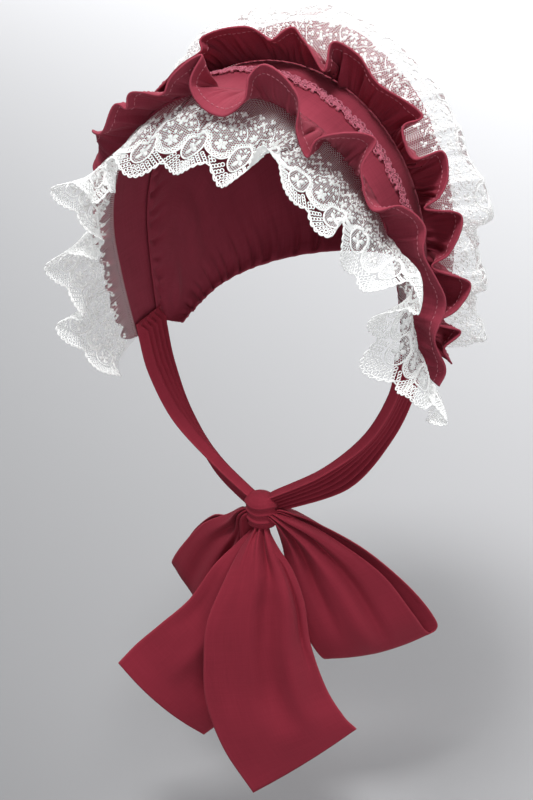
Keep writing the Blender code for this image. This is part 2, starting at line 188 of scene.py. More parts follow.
class Threads:
    # gathers tubes and petals that lie on a cloth, and makes them one mesh
    def __init__(self, cloth):
        self.cloth, self.points, self.flat, self.faces, self.count = cloth, [], [], [], 0

    def keep(self, points, flat, faces):
        self.points.append(points.reshape(-1, 3))
        self.flat.append(flat.reshape(-1, 2))
        self.faces += [group + self.count for group in faces]
        self.count += self.points[-1].shape[0]

    def tubes(self, u, v, height, radius, sides=4, closed=False, flatten=1.0):
        # many tubes at once: a row of u and v for each, its section an ellipse round the path
        u, v = np.broadcast_arrays(u, v)
        centre, normal = self.cloth.at(u, v, np.broadcast_to(height, u.shape))
        if closed:
            along = np.roll(centre, -1, axis=1) - np.roll(centre, 1, axis=1)
        else:
            along = np.gradient(centre, axis=1)
        side = unit(np.cross(unit(along), normal))
        radius = np.broadcast_to(radius, u.shape)[..., None, None] * mm
        turn = np.arange(sides) * 2 * math.pi / sides
        ring = np.cos(turn)[:, None] * side[:, :, None] + flatten * np.sin(turn)[:, None] * normal[:, :, None]
        points = centre[:, :, None] + radius * ring
        many, steps = u.shape
        starts = np.arange(many) * steps * sides
        faces = [tubeFaces(starts, steps, sides, closed)]
        if not closed:
            faces.append(starts[:, None] + np.arange(sides)[None, ::-1])
            faces.append(starts[:, None] + (steps - 1) * sides + np.arange(sides)[None, :])
        flat = np.broadcast_to(np.stack([u, v], axis=-1)[:, :, None], points.shape[:3] + (2,))
        self.keep(points, flat, faces)

    def rings(self, u, v, size, radius, height, steps=9, sides=4):
        turn = np.arange(steps) * 2 * math.pi / steps
        u, v, size = (np.asarray(values, float).reshape(-1, 1) + 0 * turn for values in (u, v, size + 0 * u))
        self.tubes(u + size * np.cos(turn), v + size * np.sin(turn), height, radius, sides, closed=True)

    def petals(self, u, v, angle, length, width, height, steps=10):
        # raised leaf shapes: a rim, a ring half way in and a middle, pointed at both ends
        turn = np.arange(steps) * 2 * math.pi / steps
        given = np.broadcast_arrays(u, v, angle, length, width, height)
        u, v, angle, length, width, height = (np.array(values, float).reshape(-1, 1) for values in given)
        rings, flats = [], []
        for share, lift in ((1.0, 0.0), (0.86, 0.75), (0.42, 1.0)):
            along = share * length / 2 * np.cos(turn)
            across = share * width / 2 * np.sign(np.sin(turn)) * np.abs(np.sin(turn)) ** 1.3
            placeU = u + along * np.cos(angle) - across * np.sin(angle)
            placeV = v + along * np.sin(angle) + across * np.cos(angle)
            rings.append(self.cloth.at(placeU, placeV, lift * height + 0 * placeU)[0])
            flats.append(np.stack([placeU, placeV], axis=-1))
        points = np.stack(rings, axis=1)
        starts = np.arange(len(points)) * len(rings) * steps
        top = starts[:, None] + (len(rings) - 1) * steps + np.arange(steps)[None, :]
        bottom = starts[:, None] + np.arange(steps)[None, ::-1]
        self.keep(points, np.stack(flats, axis=1), [tubeFaces(starts, len(rings), steps), top, bottom])

    def build(self, name):
        return buildMesh(name, np.concatenate(self.points), self.faces, np.concatenate(self.flat))


# shader nodes


class Value:
    # a node's output; an expression on it adds Math nodes
    def __init__(self, look, socket):
        self.look, self.socket = look, socket

    def math(self, operation, *others):
        sockets = {place: other for place, other in enumerate((self, *others))}
        return self.look.node("ShaderNodeMath", {"operation": operation}, sockets)

    def __add__(self, other):
        return self.math("ADD", other)

    def __sub__(self, other):
        return self.math("SUBTRACT", other)

    def __rsub__(self, other):
        return self.look.node("ShaderNodeMath", {"operation": "SUBTRACT"}, {0: other, 1: self})

    def __mul__(self, other):
        return self.math("MULTIPLY", other)

    def __truediv__(self, other):
        return self.math("DIVIDE", other)

    __radd__, __rmul__ = __add__, __mul__

    def clamp(self):
        return self.math("MINIMUM", 1.0).math("MAXIMUM", 0.0)


class Look:
    # a material on one Principled shader
    def __init__(self, name, color, roughness, sheen=0.0, sheenTint=(1, 1, 1)):
        self.material = bpy.data.materials.new(name)
        self.material.use_nodes = True
        self.tree = self.material.node_tree
        self.shader = self.tree.nodes["Principled BSDF"]
        self.set("Base Color", (*color, 1))
        self.set("Roughness", roughness)
        self.set("Specular IOR Level", 0.25)
        self.set("Sheen Weight", sheen)
        self.set("Sheen Roughness", 0.45)
        self.set("Sheen Tint", (*sheenTint, 1))
        self.material.diffuse_color = (*color, 1)

    def plug(self, socket, value):
        if isinstance(value, Value):
            self.tree.links.new(value.socket, socket)
        else:
            socket.default_value = value

    def set(self, name, value):
        self.plug(self.shader.inputs[name], value)

    def node(self, kind, settings=None, sockets=None, output=0):
        made = self.tree.nodes.new(kind)
        for name, value in (settings or {}).items():
            setattr(made, name, value)
        for name, value in (sockets or {}).items():
            self.plug(made.inputs[name], value)
        return Value(self, made.outputs[output])

    def flatPlace(self):
        # u and v in millimetres
        place = self.node("ShaderNodeUVMap", {"uv_map": "flat"})
        u, v = (self.node("ShaderNodeSeparateXYZ", None, {0: place}, axis) for axis in (0, 1))
        return place, u, v

    def mixColor(self, factor, first, second, blend="MIX"):
        made = self.tree.nodes.new("ShaderNodeMix")
        made.data_type, made.blend_type = "RGBA", blend
        for place, value in ((0, factor), (6, first), (7, second)):
            if isinstance(value, tuple):
                value = (*value, 1)
            self.plug(made.inputs[place], value)
        return Value(self, made.outputs[2])

    def bump(self, height, strength, distance):
        sockets = {"Height": height, "Strength": strength, "Distance": distance}
        self.set("Normal", self.node("ShaderNodeBump", None, sockets))


def clothLook(name, settings):
    # plain weave: threads along u and v whose heights cross, uneven thread shades, and a painted highlight
    # that lightens the edges
    look = Look(name, settings["color"], settings["roughness"], settings["sheen"], settings["sheenTint"])
    place, u, v = look.flatPlace()
    turn = 2 * math.pi / settings["threadPitch"]
    warp = (u * turn).math("SINE")
    weft = (v * turn).math("SINE")
    weave = warp * weft * 0.5 + 0.5
    alongWarp = look.node("ShaderNodeMapping", None, {0: place, "Scale": (1.1, 0.035, 1)})
    alongWeft = look.node("ShaderNodeMapping", None, {0: place, "Scale": (0.035, 1.1, 1)})
    slubWarp = look.node("ShaderNodeTexNoise", None, {"Vector": alongWarp, "Scale": 1.0, "Detail": 2.0})
    slubWeft = look.node("ShaderNodeTexNoise", None, {"Vector": alongWeft, "Scale": 1.0, "Detail": 2.0})
    cloud = look.node("ShaderNodeTexNoise", None, {"Vector": place, "Scale": 0.045, "Detail": 3.0})
    threads = slubWarp + slubWeft - 1.0
    # tone: random clouds and slubs, plus a little painted shade where the weave lies low
    shade = (cloud - 0.5) * settings["clouds"] + threads * settings["slubs"] + (weave - 0.5) * 0.12 + 0.5
    dark = tuple(settings["darker"] * part for part in settings["color"])
    base = look.mixColor(shade.clamp(), dark, settings["lighter"])
    # painted highlight: a per point attribute mixes the edges towards a lighter colour, as if they caught the
    # light
    paintedHighlight = look.node("ShaderNodeAttribute", {"attribute_name": "paintedHighlight"}, None, 2)
    base = look.mixColor(paintedHighlight, base, settings["paintedHighlightColor"])
    look.set("Base Color", base)
    look.set("Roughness", settings["roughness"] + (cloud - 0.5) * 0.12)
    look.bump(weave * 0.6 + threads * 0.8, settings["bump"], 0.0004)
    return look.material


clothSettings = {
    "color": (0.285, 0.028, 0.052),
    "lighter": (0.395, 0.050, 0.086),
    # the colour of the painted edge highlight
    "paintedHighlightColor": (0.42, 0.070, 0.105),
    "darker": 0.66,
    "clouds": 0.30,
    "slubs": 0.45,
    "roughness": 0.86,
    "sheen": 0.05,
    "sheenTint": (1.0, 0.55, 0.6),
    "threadPitch": 0.55,
    "bump": 0.35,
}
ribbonSettings = dict(
    clothSettings,
    color=(0.285, 0.018, 0.038),
    lighter=(0.385, 0.029, 0.056),
    # the colour of the ribbon's painted edge highlight
    paintedHighlightColor=(0.46, 0.045, 0.075),
    slubs=0.3,
    clouds=0.22,
    roughness=0.8,
    sheen=0.06,
    threadPitch=0.42,
    bump=0.25,
)
laceSettings = {
    "pitch": 33.0,  # one scallop
    "width": 70.0,
    "scallop": 8.0,  # how deep the hem's scallops are
    "bumps": 9,  # along each scallop
    "waveCentre": 23.7,  # up from the hem; the main cord waves about this height
    "hollow": 9.2,  # radius of its hollows, which lie over the points between the scallops
    "domeRise": 0.85,  # height to half width of its domes, over the scallops
    "arcCentre": 18.2,  # an arc hangs in each scallop
    "arcRadius": 7.6,
    "netPitch": 1.5,
    "ringPitch": 2.9,
    "ringRow": 2.45,  # between rows of rings
    "ringStart": 2.6,  # from the hem to the first row
    "ringSize": 1.08,
    "ringThread": 0.36,
    "color": (0.95, 0.955, 0.945),
}


def threadLook(name, color, shine, pitch, paintedGlow=0.0):
    # twisted thread: a fine diagonal ridge, with a little painted shade in its grooves and uneven tone; the
    # white lace thread is given painted light, an emission that stands in for light let through the thin
    # thread
    look = Look(name, color, 0.72, 0.25)
    place, u, v = look.flatPlace()
    ridge = ((u + v) * (2 * math.pi / pitch)).math("SINE") * 0.5 + 0.5
    cloud = look.node("ShaderNodeTexNoise", None, {"Vector": place, "Scale": 0.35, "Detail": 2.0})
    dark = tuple(0.86 * part for part in color)
    look.set("Base Color", look.mixColor((ridge * 0.35 + cloud * 0.65).math("MINIMUM", 1.0), dark, color))
    # painted light: the thread emits a little light of its own, in its own colour
    if paintedGlow:
        look.set("Emission Color", (*color, 1))
        look.set("Emission Strength", paintedGlow)
    look.set("Specular IOR Level", shine)
    look.bump(ridge, 0.3, 0.0003)
    return look.material


def netLook(name, settings):
    # tulle: three waves 60 degrees apart have round holes at their crests, and threads between them
    look = Look(name, settings["color"], 0.8, 0.2)
    place, u, v = look.flatPlace()
    turn = 2 * math.pi / (settings["netPitch"] * math.sqrt(3) / 2)
    angles = (0, math.pi / 3, 2 * math.pi / 3)
    waves = [(u * (turn * math.cos(a)) + v * (turn * math.sin(a))).math("COSINE") for a in angles]
    field = waves[0] + waves[1] + waves[2]
    threads = ((-0.76 - field) / 0.24).clamp()
    # the tulle shows above the main cord, in its hollows and domes and in the arcs; rings fill the rest
    pitch = settings["pitch"]
    x = ((u / pitch).math("FRACT") * pitch - pitch / 2).math("ABSOLUTE")
    up = settings["width"] - v
    side, rise, fall = x - pitch / 2, up - settings["waveCentre"], up - settings["arcCentre"]
    inHollow = settings["hollow"] - (side * side + rise * rise).math("SQRT")
    inArc = settings["arcRadius"] - (x * x + fall * fall).math("SQRT")
    inDome = (pitch / 2 - settings["hollow"] - x).math("MINIMUM", fall)
    inside = inHollow.math("MAXIMUM", inArc).math("MAXIMUM", inDome).math("MAXIMUM", rise)
    look.set("Alpha", threads * (inside / 0.4 + 0.5).clamp())
    look.bump(threads, 0.3, 0.0002)
    return look.material


cloth = clothLook("burgundyCloth", clothSettings)
ribbonCloth = clothLook("ribbonCloth", ribbonSettings)
hemThread = threadLook("hemThread", (0.56, 0.17, 0.22), 0.3, 0.6)
braidThread = threadLook("braidThread", (0.56, 0.135, 0.20), 0.35, 0.9)
# the lace thread emits a little painted light, 0.14
laceThread = threadLook("laceThread", laceSettings["color"], 0.3, 0.5, 0.14)
laceNet = netLook("laceNet", laceSettings)
print("materials made")

# head band and its edges

bandSettings = {
    "halfWidth": 96.0,
    "rise": 106.0,
    "legDrawIn": 10.0,
    "endDeg": 122.0,
    "columns": 420,
    "frontY": -34.0,
    "frontSlope": 0.016,
    "backY": 25.4,
    "backSlope": 0.196,
    "backDrop": 2.9,
    "bulge": 1.7,
    "thick": 2.0,
}


def bandArch(degrees):
    # half ellipse over the head, then straight legs that draw in
    s = bandSettings
    angle = np.radians(degrees)
    top = np.clip(angle, -math.pi / 2, math.pi / 2)
    leg = np.abs(angle) - np.abs(top)
    x = s["halfWidth"] * np.sin(top) - np.sign(angle) * s["legDrawIn"] * leg**2
    z = -s["rise"] * (1 - np.cos(top)) - s["rise"] * leg
    return x * mm, z * mm


def bandEdge(degrees, edge):
    s = bandSettings
    x, z = bandArch(degrees)
    if edge == "front":
        y = s["frontY"] * mm + s["frontSlope"] * z
    else:
        y = s["backY"] * mm + s["backSlope"] * (z + s["backDrop"] * mm)
        z = z - s["backDrop"] * mm
    return np.stack([x, y, z], axis=-1)


def edgeFrame(degrees, edge):
    # straight away from the band, and straight out from the head
    along = unit(bandEdge(degrees + 0.5, edge) - bandEdge(degrees - 0.5, edge))
    ahead = np.zeros_like(along)
    ahead[..., 1] = -1.0 if edge == "front" else 1.0
    ahead = unit(ahead - along * np.sum(ahead * along, axis=-1, keepdims=True))
    outward = np.cross(ahead, along) if edge == "front" else np.cross(along, ahead)
    return ahead, outward


def bandSurface(degrees, across, out):
    # straight from the front edge (across 0) to the back edge (1), with a bulge between them
    front, back = bandEdge(degrees, "front"), bandEdge(degrees, "back")
    outward = unit(edgeFrame(degrees, "front")[1] + edgeFrame(degrees, "back")[1])
    bulge = bandSettings["bulge"] * mm * 4 * across * (1 - across)
    return front + (back - front) * across + outward * (bulge + out)


def makeBand():
    # the seams pull small puckers into both edges, and the middle is smooth
    s = bandSettings
    degrees = np.linspace(-s["endDeg"], s["endDeg"], s["columns"])
    across = np.linspace(0, 1, 30)
    u = lengthAlong(bandSurface(degrees[:, None], np.array([[0.5]]), 0)[:, 0]) / mm
    near = np.exp(-(across / 0.10) ** 2) + np.exp(-((1 - across) / 0.10) ** 2)
    pucker = near[None, :] * 0.30 * mm * ripple(u, 5.5, 1.0)[:, None]
    soft = 0.25 * mm * ripple(u, 47, 2.0)[:, None] * np.sin(math.pi * across)[None, :]
    out = s["thick"] / 2 * mm + (pucker + soft)[..., None]
    grid = bandSurface(degrees[:, None], across[None, :, None], out)
    width = np.linalg.norm(bandEdge(degrees, "back") - bandEdge(degrees, "front"), axis=1) / mm
    flat = flatPlaces(u[:, None], across[None, :] * width[:, None])
    # painted highlight along both seamed edges
    paintedHighlight = 0.10 * near[None, :] + 0 * u[:, None]
    thick = (s["thick"] - 0.7 * near) * mm
    made = shell("bandCloth", grid, thick[None, :], flat, paintedHighlight)
    made.data.materials.append(cloth)
    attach(made, "root")
    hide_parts("head_band")


makeBand()
print("head band made")

# crown

crownSettings = {
    "centreY": 56.8,
    "centreZ": -102.8,
    "depth": 75.0,
    "height": 113.6,
    "seamStep": 0.8,
    "thick": 0.9,
    # the cut in metres, an arch that fills two thirds of its width and height
    "cut": (0.30, 0.46),
    "cutShare": 2 / 3,
    # gathers from the seam and from the nape: pitch, seed, how far they fade, where they begin, height
    "gathers": [(12.0, 0.5, 26.0, 6, 1.9), (15.0, 3.5, 30.0, 5, 2.3)],
    "fullGathers": 8,  # how far from the seam or nape they begin to fade
    # tilt in degrees, half width and pull in, in millimetres
    "rows": [
        (79.0, 95.2, 5.4),
        (72.0, 93.8, 1.4),
        (65.0, 92.6, 0.2),
        (52.0, 91.2, 0.0),
        (38.0, 90.0, 0.0),
        (22.0, 88.0, 0.0),
        (8.0, 84.0, 3.0),
        (2.0, 80.0, 12.0),
    ],
}


def crownRadius(tilt):
    # from the axis through the band's ends to the half ellipse of the profile
    s = crownSettings
    pivot = bandEdge(np.array(bandSettings["endDeg"]), "back") / mm
    y, z = pivot[1] - s["centreY"], pivot[2] - s["centreZ"]
    run, rise = np.cos(tilt), np.sin(tilt)
    a = (run / s["depth"]) ** 2 + (rise / s["height"]) ** 2
    b = 2 * (y * run / s["depth"] ** 2 + z * rise / s["height"] ** 2)
    c = (y / s["depth"]) ** 2 + (z / s["height"]) ** 2 - 1
    return (-b + np.sqrt(b * b - 4 * a * c)) / (2 * a)


def makeCrown():
    # arches that turn back about the band's ends; gathers run in from the seam and from the nape
    s = crownSettings
    rows = curveThrough(s["rows"], 90)
    tilt = np.radians(rows[:, 0])[None, :]
    endDeg = bandSettings["endDeg"]
    degrees = np.linspace(-endDeg, endDeg, bandSettings["columns"])[:, None]
    x, z = bandArch(degrees)
    endZ = bandArch(np.array(endDeg))[1]
    rise = (z - endZ) / -endZ
    pivot = bandEdge(np.array(endDeg), "back")
    radius = (crownRadius(tilt) - rows[:, 2][None, :]) * mm
    grid = np.stack(
        [
            x / (bandSettings["halfWidth"] * mm) * rows[:, 1][None, :] * mm,
            pivot[1] + s["seamStep"] * mm + rise * radius * np.cos(tilt),
            pivot[2] + rise * radius * np.sin(tilt),
        ],
        axis=-1,
    )
    # the seam allowance, turned in under the band
    inside = bandEdge(degrees[:, 0], "back") - edgeFrame(degrees[:, 0], "back")[0] * 5 * mm
    inside = inside - edgeFrame(degrees[:, 0], "back")[1] * 0.7 * mm
    step = np.linspace(0, 1, 5)[None, :-1, None]
    allowance = inside[:, None] + (grid[:, :1] - inside[:, None]) * step
    grid = np.concatenate([allowance, grid], axis=1)
    # lengths along a row a third of the way down, and down the middle
    u = lengthAlong(grid[:, 30]) / mm
    v = lengthAlong(grid[len(grid) // 2]) / mm
    far = v[-1] - v
    wander = u[:, None] + 5 * np.sin(v / 23.0)[None, :]
    fold = 0
    for away, (pitch, seed, reach, begin, height) in zip((v, far), s["gathers"]):
        fade = np.exp(-(np.maximum(away - s["fullGathers"], 0) / reach) ** 2) * smooth(0, begin, away)
        fold = fold + np.clip(ripple(wander, pitch, seed), -0.5, 1.3) * fade[None, :] * height
    middle = np.sin(math.pi * v / v[-1])[None, :] ** 2
    soft = 1.3 * ripple(wander, 44, 1.3) * middle
    ends = smooth(0, 25, u) * smooth(0, 25, u[-1] - u)
    grid = grid + gridNormals(grid) * ((fold + soft) * ends[:, None] * mm)[..., None]
    flat = flatPlaces(u[:, None], v[None, :])
    # painted highlight along the nape edge
    paintedHighlight = 0.35 * np.exp(-(far / 1.6) ** 2)[None, :] + 0 * u[:, None]
    thick = (s["thick"] + 0.5 * smooth(9, 8, far)) * mm
    made = shell("crownCloth", grid, thick[None, :], flat, paintedHighlight)
    made.data.materials.append(cloth)
    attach(made, "root")
    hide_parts("crown")


makeCrown()
print("crown made")

# gathered strips


stripSettings = {
    "seamTuck": 3.2,  # how far a front strip's seam is tucked back against the band
    "tuckShare": 0.03,  # over this share of its width
    "creasePitch": 11.0,
    "finePitch": 6.5,
    "dentPitch": 27.0,
}


def gatheredStrip(
    edge, folds, root, rootOut, rootAhead, bend, gather, columns, depths,
    pleats=0.0, dents=0.0, sharp=1.5, seed=0.0,
):
    # folds are rows of hem place in degrees, lift in degrees and reach in millimetres; the seam
    # place is the hem's running average, and each column turns from the root's lift to the hem's
    s = stripSettings
    fine = curveThrough(folds, 60 * len(folds))
    ahead, outward = edgeFrame(fine[:, 0], edge)
    lift = np.radians(fine[:, 1:2])
    hemLine = bandEdge(fine[:, 0], edge) + fine[:, 2:3] * mm * (np.cos(lift) * ahead + np.sin(lift) * outward)
    hem = spreadEvenly(hemLine, fine, columns)
    seam = np.maximum.accumulate(blur(hem[:, 0], int(round(gather * columns))))
    seam = np.interp(seam, (seam[0], seam[-1]), (-bandSettings["endDeg"], bandSettings["endDeg"]))
    rootLift = np.interp(seam, *zip(*root))[:, None]
    depth = np.asarray(depths)[None, :]
    ease = depth**bend
    place = seam[:, None] + (hem[:, :1] - seam[:, None]) * ease
    angle = np.radians(rootLift + (hem[:, 1:2] - rootLift) * ease)[..., None]
    reach = (hem[:, 2:3] * depth * mm)[..., None]
    ahead, outward = edgeFrame(place, edge)
    start = bandEdge(place, edge) + (outward * rootOut + ahead * rootAhead) * mm
    grid = start + reach * (np.cos(angle) * ahead + np.sin(angle) * outward)
    # the seam itself is tucked back against the band
    if edge == "front":
        tuck = s["seamTuck"] * mm * np.exp(-((depth / s["tuckShare"]) ** 2))
        grid = grid - ahead * tuck[..., None]
    length = lengthAlong(grid[:, -1])[-1] / mm
    # gathers: narrow creases that start at the seam and fade towards the hem
    u = np.linspace(0, length, columns)
    crease = np.clip(ripple(u, s["creasePitch"], seed), 0, 1.4)[:, None] ** sharp
    second = np.clip(ripple(u, s["finePitch"], seed + 5), 0, 1.4)[:, None] ** sharp
    shape = 4.2 * depth * (1 - depth) ** 2.0 * crease + 9.0 * depth * np.exp(-depth / 0.16) * second
    dent = dents * np.sin(math.pi * depth**0.8) * ripple(u, s["dentPitch"], seed + 9)[:, None]
    return grid + gridNormals(grid) * ((pleats * shape + dent) * mm)[..., None], length


strips = {
    "frontRuffle": dict(
        edge="front", rootOut=1.75, rootAhead=0.9, root=[(60, 34), (70, 50), (80, 78), (122, 80)],
        bend=0.6, gather=0.1, pleats=4.0, dents=1.5, sharp=2.4, seed=1.0,
        folds=[
            (-122, 158, 30), (-113, 164, 33), (-104, 160, 33), (-95, 165, 33), (-86, 160, 33), (-77, 164, 33),
            (-69, 156, 33), (-60, 140, 30), (-51, 84, 19), (-40, 18, 31), (-28, 27, 34), (-25, 18, 32),
            (-21, 29, 34), (-10, 17, 34), (-6, 33, 34), (2, 55, 34), (0, 24, 33), (5, 3, 34),
            (13, 0, 34), (18, 20, 33), (17, 44, 34), (20, 61, 34), (31, 47, 34), (36, 20, 33),
            (43, 8, 34), (42, 30, 34), (51, 68, 35), (55, 40, 33), (65, 28, 34), (68, 55, 33),
            (75, 69, 34), (82, 60, 33), (96, 76, 34), (106, 58, 34), (117, 70, 34), (122, 62, 33),
        ],
    ),
    "backRuffle": dict(
        edge="back", rootOut=2.95, rootAhead=-2.5, root=[(0, 104)],
        bend=0.6, gather=0.107, pleats=4.8, dents=1.8, sharp=2.4, seed=2.2,
        folds=[
            (-122, 60, 30), (-111, 40, 33), (-101, 70, 33), (-91, 42, 33), (-81, 70, 33), (-71, 44, 33),
            (-62, 74, 31), (-53, 110, 28), (-44, 152, 32), (-34, 160, 32), (-24, 152, 32), (-15, 146, 32),
            (-14, 131, 33), (-1, 126, 33), (5, 132, 32), (9, 138, 32), (13, 119, 33), (18, 128, 32),
            (28, 148, 32), (25, 117, 33), (32, 113, 33), (42, 123, 33), (54, 108, 34), (54, 130, 32),
            (58, 139, 33), (63, 138, 32), (64, 108, 34), (70, 113, 33), (74, 130, 33), (76, 147, 32),
            (80, 112, 34), (88, 130, 33), (92, 150, 32), (98, 109, 34), (105, 124, 33), (109, 147, 32),
            (112, 121, 34), (117, 138, 32), (122, 128, 32),
        ],
    ),
    "frontLace": dict(
        edge="front", rootOut=0.2, rootAhead=1.8,
        root=[(38, -6), (54, 13), (64, 16), (72, 32), (82, 60), (122, 62)],
        bend=1.3, gather=0.1, pleats=2.8, dents=1.5, seed=3.0,
        folds=[
            (-123, -26, 62), (-115, -15, 70), (-105, -2, 70), (-99, 1, 70), (-97, -15, 69), (-87, -6, 70),
            (-78, 1, 70), (-71, -17, 69), (-73, -27, 69), (-63, -28, 69), (-58, -14, 69), (-51, 6, 70),
            (-43, -8, 69), (-46, -17, 69), (-35, -21, 69), (-27, -6, 70), (-21, -17, 70), (-8, -21, 69),
            (3, -20, 70), (15, -14, 70), (26, -18, 70), (33, -4, 69), (34, 14, 66), (46, 6, 69),
            (57, 3, 70), (64, 10, 70), (62, 17, 69), (74, 8, 70), (80, 11, 70), (82, 34, 70),
            (89, 36, 69), (88, 16, 69), (101, 7, 70), (111, 17, 70), (113, 28, 69), (119, 34, 70),
            (118, 40, 69), (123, 46, 70), (124, 34, 68),
        ],
    ),
    "backLace": dict(
        edge="back", rootOut=2.2, rootAhead=0.6, root=[(0, 52)],
        bend=1.2, gather=0.092, pleats=3.4, dents=1.6, seed=4.0,
        folds=[
            (-123, 12, 62), (-113, 30, 66), (-104, 5, 66), (-94, 28, 66), (-85, 3, 66), (-75, 24, 66),
            (-66, 2, 66), (-56, 20, 66), (-47, 5, 66), (-38, 20, 66), (-29, 24, 66), (-22, 14, 65),
            (-14, 16, 66), (-8, 5, 65), (-3, 4, 65), (4, 9, 66), (10, 12, 66), (15, 5, 66),
            (22, 7, 66), (33, 1, 66), (46, 1, 66), (59, -1, 66), (70, -1, 66), (79, 8, 66),
            (88, 12, 66), (89, -4, 65), (94, -4, 65), (103, 3, 66), (111, 7, 66), (110, -5, 65),
            (115, -4, 65), (122, 4, 66), (128, 11, 66), (127, -4, 65),
        ],
    ),
}

ruffleSettings = {
    "width": 33.0,
    "hem": 6.3,
    "hemStep": 0.012,  # how soon the cloth thickens at the hem, as a share of the width
    "cloth": 0.55,
    "columns": 640,
    "stitch": 2.3,
    "stitchGap": 1.1,
    "stitchSize": 0.24,
}


def makeRuffle(name, node):
    # a double hem: the cloth is twice as thick over its last 6 mm, with a row of stitches above it
    s = ruffleSettings
    hemStart = 1 - s["hem"] / s["width"]
    aboveHem = np.linspace(0, hemStart - s["hemStep"], 20)
    inHem = np.linspace(hemStart + 0.04, 1, 7)
    depths = np.concatenate([aboveHem, [hemStart, hemStart + 0.01], inHem])
    grid, length = gatheredStrip(columns=s["columns"], depths=depths, **strips[name])
    u = np.linspace(0, length, len(grid))
    hem = smooth(hemStart - s["hemStep"], hemStart + s["hemStep"], depths)
    roll = 1 + 0.08 * np.exp(-((1 - depths) / 0.03) ** 2)
    thick = s["cloth"] * (1 + 0.9 * hem) * roll * mm
    flat = flatPlaces(u[:, None], depths[None, :] * s["width"])
    # painted highlight along the hem's edge, and a little over the whole double hem
    paintedHighlight = 0.22 * np.exp(-((1 - depths) / 0.018) ** 2)[None, :] + 0.05 * hem[None, :] + 0 * u[:, None]
    made = shell(name, grid, thick[None, :], flat, paintedHighlight)
    made.data.materials.append(cloth)
    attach(made, "root")
    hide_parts(node)
    length * mm
    # stitches on both faces
    evenGrid = gatheredStrip(columns=s["columns"], depths=np.linspace(0, 1, 60), **strips[name])[0]
    stitches = Threads(Cloth(evenGrid, length, s["width"]))
    count = int(length / (s["stitch"] + s["stitchGap"]))
    begin = (np.arange(count) + 0.3) * length / count
    alongStitch = np.linspace(0, s["stitch"], 5)
    placeU = begin[:, None] + alongStitch[None, :]
    placeV = np.full_like(placeU, (hemStart + 0.02) * s["width"])
    sink = np.array([-0.05, 0.12, 0.16, 0.12, -0.05])
    size = s["stitchSize"] * np.array([0.7, 1, 1, 1, 0.7])
    for side in (1, -1):
        stitches.tubes(placeU, placeV, side * (0.5 + sink), size, sides=5)
    sewn = stitches.build(name + "Stitches")
    sewn.data.materials.append(hemThread)
    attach(sewn, "root")


makeRuffle("frontRuffle", "front_ruffle")
makeRuffle("backRuffle", "back_ruffle")
print("ruffles made")


def hemOf(u, bumpSize=0.0):
    # the scalloped hem: half waves that meet in points, with a row of small bumps on each
    s = laceSettings
    x = (u / s["pitch"]) % 1 - 0.5
    bumps = bumpSize * (np.abs(np.sin(s["bumps"] * math.pi * x)) - 0.6)
    return s["width"] - s["scallop"] * (1 - np.cos(math.pi * x)) + bumps - 0.4


def laceRings(surface, count):
    # rows of rings that follow the hem, up to the arcs and the main cord
    s = laceSettings
    pitch, centreV = s["pitch"], s["width"] - s["waveCentre"]
    work = Threads(surface)
    gap = 1.5
    rows = np.arange(8)[:, None]
    places = np.arange(int(count * pitch / s["ringPitch"]))[None, :]
    ringU = (places + 0.25 + 0.5 * (rows % 2)) * s["ringPitch"]
    ringV = hemOf(ringU) - s["ringStart"] - rows * s["ringRow"]
    x = np.abs((ringU / pitch) % 1 * pitch - pitch / 2)
    outsideArc = np.hypot(x, ringV - s["width"] + s["arcCentre"]) > s["arcRadius"] + gap
    outsideHollow = np.hypot(x - pitch / 2, ringV - centreV) > s["hollow"] + gap
    outsideDome = (x > 7) | (ringV > s["width"] - s["arcCentre"])
    clear = outsideArc & outsideHollow & outsideDome & (ringV > centreV + gap)
    work.rings(ringU[clear], ringV[clear], s["ringSize"], s["ringThread"], 0.1, steps=9, sides=4)
    # one row of loops inside each hollow, and one over each dome
    middle = (np.arange(count) + 0.5)[:, None] * pitch
    cusp = np.arange(1, count)[:, None] * pitch
    down, over = np.radians(np.linspace(6, 174, 10)), np.radians(np.linspace(196, 344, 9))
    dome = pitch / 2 - s["hollow"]
    curves = [(cusp, down, s["hollow"] - 1.8, 1.0), (middle, over, dome + 1.8, s["domeRise"])]
    for centreU, angle, radius, rise in curves:
        loopU = centreU + radius * np.cos(angle)
        loopV = centreV + rise * radius * np.sin(angle) + 0 * centreU
        work.rings(loopU.ravel(), loopV.ravel(), 0.95, 0.34, 0.15, steps=9, sides=4)
    return work


